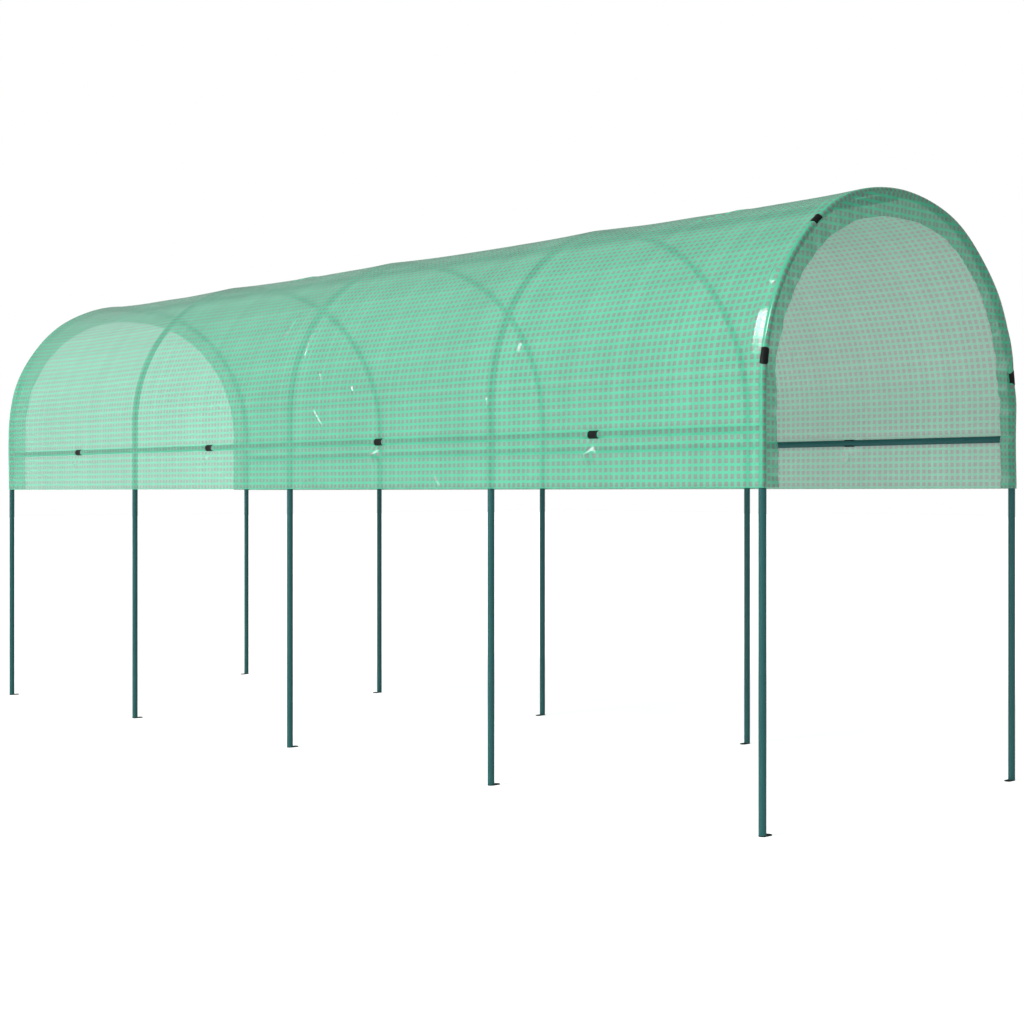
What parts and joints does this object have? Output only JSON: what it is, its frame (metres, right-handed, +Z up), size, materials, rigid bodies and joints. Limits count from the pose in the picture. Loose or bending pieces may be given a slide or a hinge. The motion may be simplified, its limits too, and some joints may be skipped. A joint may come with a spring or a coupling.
{
  "type": "polytunnel greenhouse",
  "caption": "Open-ended polytunnel of bent tube hoops on small foot plates, with side and ridge rails and a translucent green grid film clipped over the roof and upper sides.",
  "frame": {"origin": "on the ground under the centre of the tunnel", "axes": "+X along the tunnel towards the front end, +Y towards the right-hand side seen from the front, +Z up"},
  "size_m": [5.0041, 1.5032, 2.0954],
  "materials": {
    "tube": "satin dark teal paint on steel tube",
    "foot": "black painted steel",
    "clip": "matt black moulded plastic",
    "film": "glossy translucent green film with a woven grid"
  },
  "bodies": {
    "root": {"hoop_1_left_leg": "tube", "hoop_1_right_leg": "tube", "hoop_1_arch": "tube", "hoop_1_left_foot": "foot", "hoop_1_right_foot": "foot", "hoop_2_left_leg": "tube", "hoop_2_right_leg": "tube", "hoop_2_arch": "tube", "hoop_2_left_foot": "foot", "hoop_2_right_foot": "foot", "hoop_3_left_leg": "tube", "hoop_3_right_leg": "tube", "hoop_3_arch": "tube", "hoop_3_left_foot": "foot", "hoop_3_right_foot": "foot", "hoop_4_left_leg": "tube", "hoop_4_right_leg": "tube", "hoop_4_arch": "tube", "hoop_4_left_foot": "foot", "hoop_4_right_foot": "foot", "hoop_5_left_leg": "tube", "hoop_5_right_leg": "tube", "hoop_5_arch": "tube", "hoop_5_left_foot": "foot", "hoop_5_right_foot": "foot", "left_rail_bay_1": "tube", "left_rail_bay_2": "tube", "left_rail_bay_3": "tube", "left_rail_bay_4": "tube", "right_rail_bay_1": "tube", "right_rail_bay_2": "tube", "right_rail_bay_3": "tube", "right_rail_bay_4": "tube", "ridge_rail_bay_1": "tube", "ridge_rail_bay_2": "tube", "ridge_rail_bay_3": "tube", "ridge_rail_bay_4": "tube", "cover": "film", "front_end_flap": "film", "rear_end_flap": "film", "left_side_clips": "clip", "right_side_clips": "clip", "front_end_clips": "clip"}
  },
  "joints": []
}
